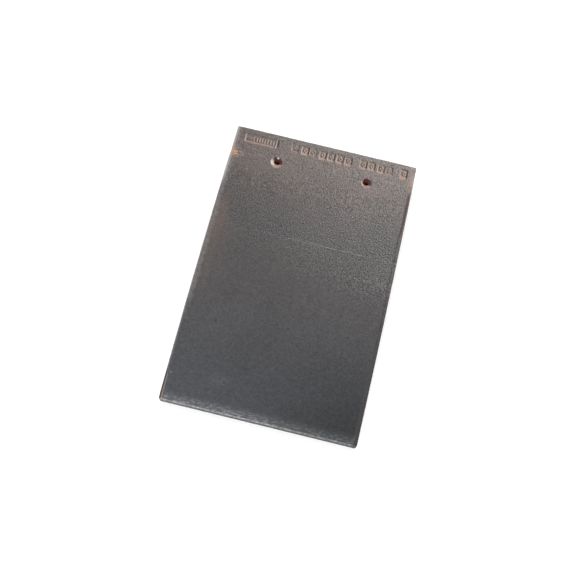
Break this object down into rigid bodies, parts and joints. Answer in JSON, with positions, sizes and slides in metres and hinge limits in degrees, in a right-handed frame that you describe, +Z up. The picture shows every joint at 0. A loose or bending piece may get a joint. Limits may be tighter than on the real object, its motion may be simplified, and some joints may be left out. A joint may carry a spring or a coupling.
{
  "type": "clay plain roof tile",
  "caption": "Cambered rectangular clay roof tile in a dark satin glaze, with nail holes, a stamped head and hanging nibs; hung on battens in overlapping courses to shed rain.",
  "frame": {"origin": "on the floor under the middle of the tile's outer box, with the tile lying face up on its nib tips and tail edge", "axes": "+X across the tile, +Y from tail to head, +Z up out of the face"},
  "size_m": [0.165, 0.2646, 0.0252],
  "materials": {
    "glazed_clay": "dark brown-grey satin glaze with an orange-peel grain, bare red clay at chips and in the nail holes"
  },
  "bodies": {
    "root": {"roof_tile": "glazed_clay"}
  },
  "joints": []
}
